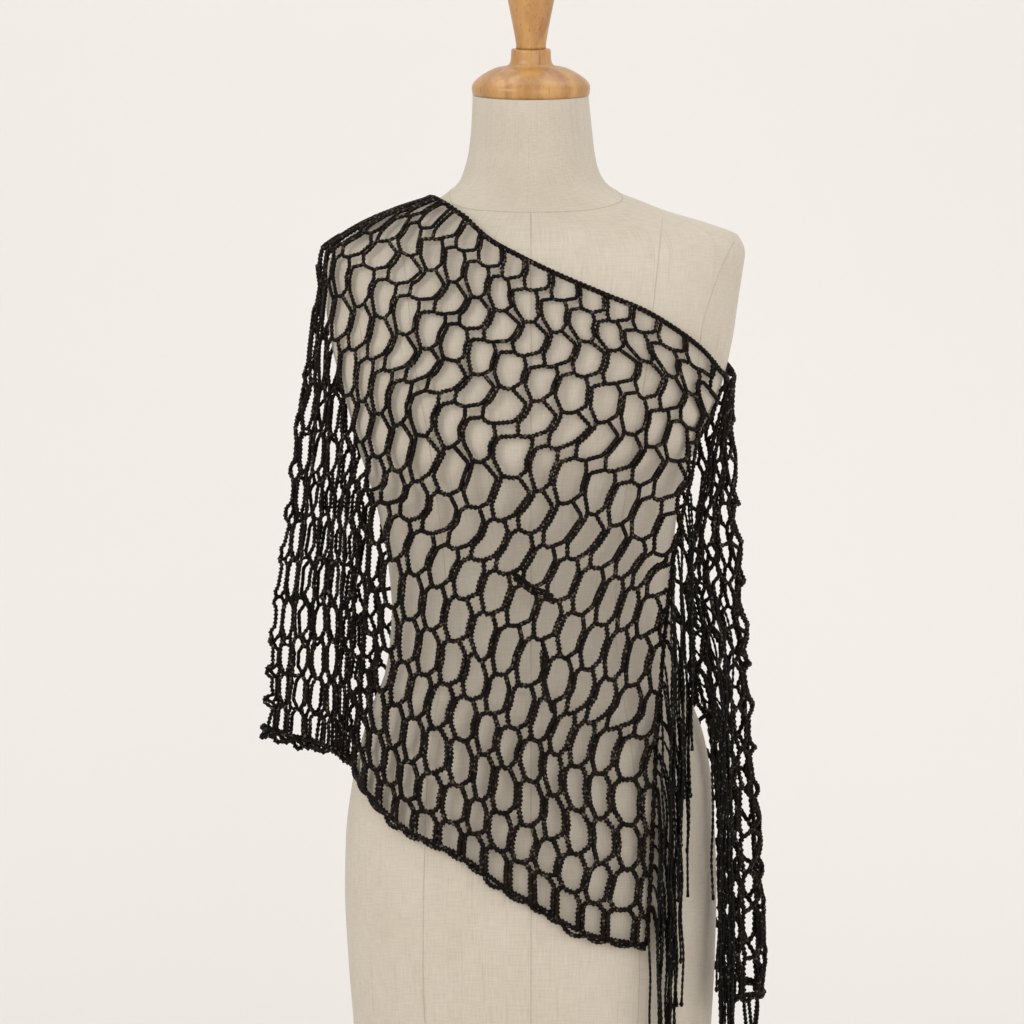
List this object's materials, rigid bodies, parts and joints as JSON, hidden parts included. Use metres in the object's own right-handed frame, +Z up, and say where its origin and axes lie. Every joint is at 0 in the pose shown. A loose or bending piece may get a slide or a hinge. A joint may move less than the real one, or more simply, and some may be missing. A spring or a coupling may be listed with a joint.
{
  "type": "crochet net poncho on a dress form and stand",
  "caption": "Black crochet net poncho worn off one shoulder, fringed along its short ends, on a limbless linen dress form with a turned wooden neck cap and a plain stand.",
  "frame": {"origin": "centre of the stand base's underside, on the dress form's upright axis", "axes": "+Z up, the front of the garment faces -Y, +X to the viewer's right"},
  "size_m": [0.4641, 0.28, 1.2177],
  "materials": {
    "net": "crocheted glossy yarn",
    "cord": "crocheted chain cord",
    "yarn": "loose yarn strands",
    "linen": "plain woven linen, matte",
    "wood": "satin varnish",
    "metal": "satin paint"
  },
  "bodies": {
    "root": {"front_panel": "net", "back_panel": "net", "neckline_edging": "cord", "hem_edging": "cord", "corner_knot": "yarn", "front_fringe": "yarn", "back_fringe": "yarn", "dress_form": "linen", "neck_cap": "wood", "neck_finial": "wood", "stand_pole": "metal", "stand_base": "metal"}
  },
  "joints": []
}
